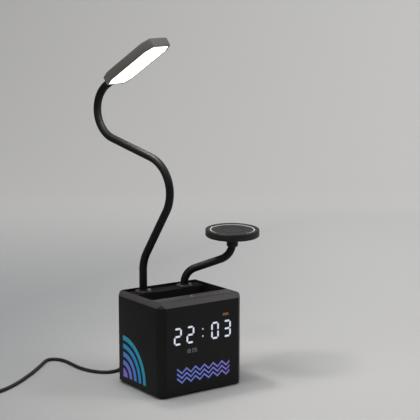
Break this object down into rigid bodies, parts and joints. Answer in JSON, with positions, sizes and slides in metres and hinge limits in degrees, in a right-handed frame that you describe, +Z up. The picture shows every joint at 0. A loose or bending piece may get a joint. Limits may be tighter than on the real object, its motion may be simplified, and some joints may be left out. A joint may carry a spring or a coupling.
{
  "type": "pen-holder desk lamp",
  "caption": "Black cube pen holder with a glowing clock face, an LED lamp on a long gooseneck, a round charging pad on a short one and a power cord at the back.",
  "frame": {"origin": "middle of the footprint of the cube, on the table", "axes": "+Z up, clock face looks to -Y, +X to the right seen from the front"},
  "size_m": [0.3452, 0.1887, 0.3468],
  "materials": {
    "housing_black": "fine matt moulded black",
    "face_black": "smooth smoked black",
    "deck_grey": "fine matt moulded dark grey",
    "plate_black": "moulded black",
    "steel": "zinc plated",
    "rubber_black": "matt rubber",
    "board_green": "solder mask",
    "light_white": "milky light guide",
    "dark_bar": "unlit light guide",
    "key_white": "milky light guide",
    "button_black": "moulded black",
    "seat_grey": "dark grey paint",
    "conduit_steel": "wound steel",
    "sleeve_black": "very matt soft sleeve",
    "head_grey": "fine matt dark grey",
    "diffuser_white": "milky diffuser",
    "pad_black": "fine matt black",
    "copper": "enamelled copper wire",
    "cord_black": "matt cord jacket",
    "shell_steel": "nickel plated"
  },
  "bodies": {
    "base": {"housing": "housing_black", "front_panel": "face_black", "pen_well": "deck_grey", "base_plate": "plate_black", "ballast_plate": "steel", "base_screws": "steel", "grip_pad": "rubber_black", "main_board": "board_green", "usb_socket": "shell_steel", "coin_cell": "steel", "clock_board": "board_green", "digit_1": "light_white", "digit_2": "light_white", "digit_3": "light_white", "digit_4": "light_white", "colon_dots": "light_white", "dark_bars": "dark_bar", "date_window": "dark_bar", "day_window": "dark_bar", "touch_board": "board_green", "status_light": "key_white", "power_key": "key_white", "button_board": "board_green", "lamp_socket": "seat_grey", "pad_socket": "seat_grey", "socket_nuts": "steel", "socket_screws": "steel", "inlet_plug": "cord_black", "power_cord": "cord_black", "cord_coil": "cord_black", "cord_tail": "cord_black", "cord_tie": "cord_black", "supply_plug": "cord_black", "supply_shell": "shell_steel"},
    "lamp_post": {"lamp_swivel": "conduit_steel", "lamp_conduit_1": "conduit_steel", "lamp_sleeve": "sleeve_black"},
    "lamp_stem": {"lamp_conduit_2": "conduit_steel"},
    "lamp_arm": {"lamp_conduit_3": "conduit_steel"},
    "lamp_head": {"lamp_conduit_4": "conduit_steel", "head_cover": "head_grey", "head_frame": "head_grey", "diffuser": "diffuser_white", "led_board": "key_white", "head_ferrule": "steel", "head_screws": "steel"},
    "pad_post": {"pad_swivel": "conduit_steel", "pad_conduit_1": "conduit_steel", "pad_sleeve": "sleeve_black"},
    "pad_arm": {"pad_conduit_2": "conduit_steel"},
    "pad_head": {"pad_conduit_3": "conduit_steel", "pad_hub": "pad_black", "pad_dish": "pad_black", "pad_top": "pad_black", "pad_ring": "key_white", "charge_coil": "copper"},
    "set_key": {"set_button": "button_black"},
    "up_key": {"up_button": "button_black"},
    "down_key": {"down_button": "button_black"}
  },
  "joints": [
    {"name": "lamp_turn", "type": "hinge", "parent": "base", "child": "lamp_post", "pos_m": [-0.025, 0.028, 0.092], "axis": [0, 0, 1], "range_deg": [-60, 60]},
    {"name": "lamp_lean", "type": "hinge", "parent": "lamp_post", "child": "lamp_stem", "pos_m": [-0.02465, 0.0267, 0.12389], "axis": [0.9659, 0.2588, 0], "range_deg": [-20, 20], "deforming": ["lamp_sleeve"]},
    {"name": "lamp_back_bend", "type": "hinge", "parent": "lamp_stem", "child": "lamp_arm", "pos_m": [-0.01612, -0.00513, 0.20822], "axis": [0.9659, 0.2588, 0], "range_deg": [-35, 30], "deforming": ["lamp_sleeve"]},
    {"name": "lamp_head_bend", "type": "hinge", "parent": "lamp_arm", "child": "lamp_head", "pos_m": [-0.04102, 0.08779, 0.27071], "axis": [0.9659, 0.2588, 0], "range_deg": [-40, 30], "deforming": ["lamp_sleeve"]},
    {"name": "pad_turn", "type": "hinge", "parent": "base", "child": "pad_post", "pos_m": [0.025, 0.028, 0.092], "axis": [0, 0, 1], "range_deg": [-60, 75]},
    {"name": "pad_lift", "type": "hinge", "parent": "pad_post", "child": "pad_arm", "pos_m": [0.02773, 0.02642, 0.1049], "axis": [0.5, 0.866, 0], "range_deg": [-35, 12], "deforming": ["pad_sleeve"]},
    {"name": "pad_tilt", "type": "hinge", "parent": "pad_arm", "child": "pad_head", "pos_m": [0.06551, 0.00461, 0.1259], "axis": [0.5, 0.866, 0], "range_deg": [-25, 25], "deforming": ["pad_sleeve"]},
    {"name": "set_press", "type": "slide", "parent": "base", "child": "set_key", "axis": [0, -1, 0], "range_m": [0, 0.0008], "stiffness_N_per_m": 1500, "springref_m": -0.0002},
    {"name": "up_press", "type": "slide", "parent": "base", "child": "up_key", "axis": [0, -1, 0], "range_m": [0, 0.0008], "stiffness_N_per_m": 1500, "springref_m": -0.0002},
    {"name": "down_press", "type": "slide", "parent": "base", "child": "down_key", "axis": [0, -1, 0], "range_m": [0, 0.0008], "stiffness_N_per_m": 1500, "springref_m": -0.0002}
  ]
}
